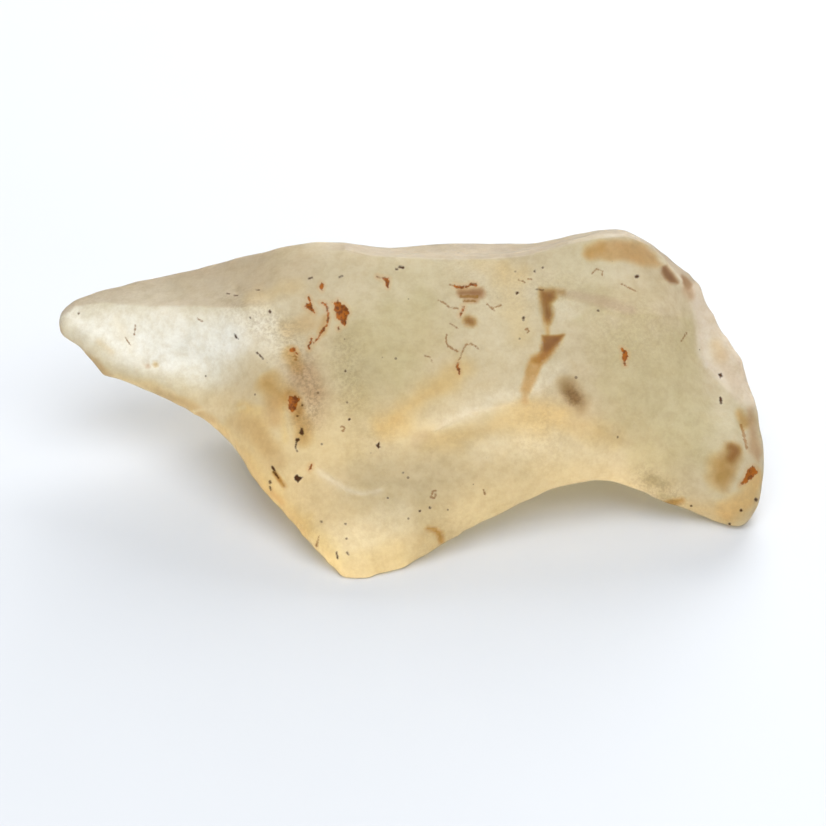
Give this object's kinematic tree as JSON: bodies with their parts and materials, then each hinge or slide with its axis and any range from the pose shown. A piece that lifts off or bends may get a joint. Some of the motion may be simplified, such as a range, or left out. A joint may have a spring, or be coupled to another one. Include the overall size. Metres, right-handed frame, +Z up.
{
  "type": "raw libyan desert glass",
  "caption": "Raw splinter of pale yellow natural desert glass, a wind-worn wedge with a pointed nose, hollow underside and pitted frosted skin, that rests on its feet.",
  "frame": {"origin": "middle of the footprint's bounding box, on the surface that the piece rests on", "axes": "+X from the pointed nose to the blunt tail, +Y from the broad front face to the back, +Z up"},
  "size_m": [0.042, 0.0208, 0.0132],
  "materials": {
    "glass": "frosted, translucent pale straw yellow with rust-brown pits"
  },
  "bodies": {
    "root": {"desert_glass": "glass"}
  },
  "joints": []
}
